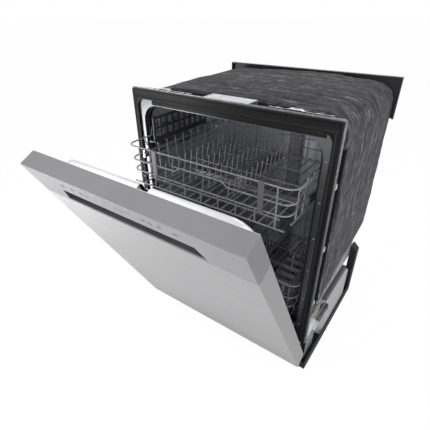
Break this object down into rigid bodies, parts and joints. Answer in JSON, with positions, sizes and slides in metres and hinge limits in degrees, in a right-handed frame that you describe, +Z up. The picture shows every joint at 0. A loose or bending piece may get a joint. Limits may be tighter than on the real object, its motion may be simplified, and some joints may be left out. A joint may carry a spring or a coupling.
{
  "type": "built-in dishwasher",
  "caption": "Built-in dishwasher with pocket-handle steel door ajar, felt-wrapped steel tub, upper wire rack part-way out, lower wire rack with cutlery basket, spray arms, pumps and hinges",
  "frame": {"origin": "middle of the base pan's underside, on the floor", "axes": "+Z up, front towards -Y, right-hand side seen from the front +X"},
  "size_m": [0.609, 0.9115, 0.85],
  "materials": {
    "black_plastic": "moulded",
    "grey_plastic": "moulded",
    "tub_steel": "brushed",
    "door_steel": "fine brushed",
    "console_grey": "satin",
    "galvanised": "plain",
    "black_paint": "satin",
    "rubber": "matt",
    "felt": "mottled felt",
    "white_plastic": "moulded",
    "dark_pocket": "fine grain",
    "display": "polished",
    "rack_wire": "nylon coated",
    "runner_steel": "polished",
    "spring_steel": "drawn",
    "dispenser_plastic": "moulded",
    "wheel_plastic": "moulded",
    "zinc": "cast",
    "wire_insulation": "smooth"
  },
  "bodies": {
    "cabinet": {"base_frame": "black_plastic", "levelling_feet": "zinc", "tub_wrapper": "tub_steel", "tub_back_wall": "tub_steel", "tub_floor": "tub_steel", "front_flange": "galvanised", "front_trim": "black_plastic", "door_gasket": "rubber", "strike_bracket": "galvanised", "rear_bracket": "black_paint", "flange_clips": "white_plastic", "worktop_brackets": "galvanised", "insulation_blanket": "felt", "blanket_binding": "felt", "hinge_brackets": "galvanised", "door_springs": "spring_steel", "fixed_rails": "runner_steel", "sump": "wheel_plastic", "filter_plate": "grey_plastic", "water_duct": "grey_plastic", "circulation_pump": "black_plastic", "drain_pump": "black_plastic", "inlet_valve": "white_plastic", "control_box": "white_plastic", "junction_box": "zinc", "wiring_harness": "wire_insulation"},
    "door": {"hinge_arms": "galvanised", "outer_panel": "door_steel", "console": "console_grey", "handle_pocket": "dark_pocket", "display_and_keys": "display", "inner_liner": "tub_steel", "latch_housing": "grey_plastic", "dispenser_body": "dispenser_plastic"},
    "latch_claw": {"latch_claw": "grey_plastic"},
    "dispenser_lid": {"dispenser_lid": "dispenser_plastic"},
    "rinse_aid_cap": {"rinse_aid_cap": "dispenser_plastic"},
    "spring_sliders": {"spring_sliders": "white_plastic"},
    "runners": {"rack_runners": "runner_steel"},
    "upper_rack": {"upper_rack_ends": "rack_wire", "upper_rack_sides": "rack_wire", "upper_rack_floor": "rack_wire", "upper_rack_tines": "rack_wire", "upper_rack_fittings": "grey_plastic", "shelf_rod": "rack_wire", "middle_manifold": "grey_plastic"},
    "cup_shelf": {"cup_shelf": "grey_plastic"},
    "middle_spray_arm": {"middle_spray_arm": "grey_plastic"},
    "lower_rack": {"lower_rack_ends": "rack_wire", "lower_rack_sides": "rack_wire", "lower_rack_floor": "rack_wire", "lower_rack_tines": "rack_wire", "wheel_carriers": "wheel_plastic", "cutlery_basket": "grey_plastic"},
    "front_wheels": {"front_wheels": "wheel_plastic"},
    "rear_wheels": {"rear_wheels": "wheel_plastic"},
    "filter_cup": {"filter_cup": "grey_plastic"},
    "lower_spray_arm": {"lower_spray_arm": "grey_plastic"},
    "top_spray_arm": {"top_spray_arm": "grey_plastic"},
    "float_dome": {"float_dome": "white_plastic"}
  },
  "joints": [
    {"name": "door_hinge", "type": "hinge", "parent": "cabinet", "child": "door", "pos_m": [0, -0.267, 0.17], "axis": [1, 0, 0], "range_deg": [-28.4, 61.6]},
    {"name": "spring_slide", "type": "slide", "parent": "cabinet", "child": "spring_sliders", "axis": [0, -1, 0], "range_m": [-0.01, 0.0215], "deforming": ["door_springs"]},
    {"name": "latch_claw_pivot", "type": "hinge", "parent": "door", "child": "latch_claw", "pos_m": [0.015, -0.53659, 0.71485], "axis": [-1, 0, 0], "range_deg": [0, 40]},
    {"name": "dispenser_lid_slide", "type": "slide", "parent": "door", "child": "dispenser_lid", "axis": [0, 0.4756, -0.8796], "range_m": [0, 0.0487]},
    {"name": "rinse_aid_cap_turn", "type": "hinge", "parent": "door", "child": "rinse_aid_cap", "pos_m": [0.03, -0.39405, 0.47646], "axis": [0, 0.8796, 0.4756], "range_deg": [0, 90]},
    {"name": "runner_slide", "type": "slide", "parent": "cabinet", "child": "runners", "axis": [0, -1, 0], "range_m": [-0.1251, 0.27123]},
    {"name": "upper_rack_slide", "type": "slide", "parent": "runners", "child": "upper_rack", "axis": [0, -1, 0], "range_m": [0, 0.08]},
    {"name": "cup_shelf_fold", "type": "hinge", "parent": "upper_rack", "child": "cup_shelf", "pos_m": [-0.239, -0.132, 0.693], "axis": [0, 1, 0], "range_deg": [0, 80]},
    {"name": "middle_arm_spin", "type": "hinge", "parent": "upper_rack", "child": "middle_spray_arm", "pos_m": [0, -0.132, 0.584], "axis": [0, 0, 1], "continuous": true},
    {"name": "lower_rack_slide", "type": "slide", "parent": "cabinet", "child": "lower_rack", "axis": [0, -1, 0], "range_m": [-0.0351, 0.07602]},
    {"name": "front_wheel_spin", "type": "hinge", "parent": "lower_rack", "child": "front_wheels", "pos_m": [0, -0.19, 0.222], "axis": [1, 0, 0], "range_deg": [-150, 300]},
    {"name": "rear_wheel_spin", "type": "hinge", "parent": "lower_rack", "child": "rear_wheels", "pos_m": [0, 0.112, 0.222], "axis": [1, 0, 0], "range_deg": [-150, 300]},
    {"name": "filter_twist", "type": "hinge", "parent": "cabinet", "child": "filter_cup", "pos_m": [0, 0.071, 0.191], "axis": [0, 0, 1], "range_deg": [0, 90]},
    {"name": "lower_arm_spin", "type": "hinge", "parent": "cabinet", "child": "lower_spray_arm", "pos_m": [0, 0, 0.225], "axis": [0, 0, 1], "continuous": true},
    {"name": "top_arm_spin", "type": "hinge", "parent": "cabinet", "child": "top_spray_arm", "pos_m": [0, 0, 0.775], "axis": [0, 0, 1], "continuous": true},
    {"name": "float_lift", "type": "slide", "parent": "cabinet", "child": "float_dome", "axis": [0, 0, 1], "range_m": [0, 0.01]}
  ],
  "couplings": [
    {"joint": "runner_slide", "follows": "door_hinge", "m_per_rad": 0.25218},
    {"joint": "lower_rack_slide", "follows": "door_hinge", "m_per_rad": 0.070611},
    {"joint": "front_wheel_spin", "follows": "door_hinge", "ratio": 4.1536},
    {"joint": "rear_wheel_spin", "follows": "door_hinge", "ratio": 4.1536},
    {"joint": "spring_slide", "follows": "door_hinge", "m_per_rad": 0.02}
  ]
}
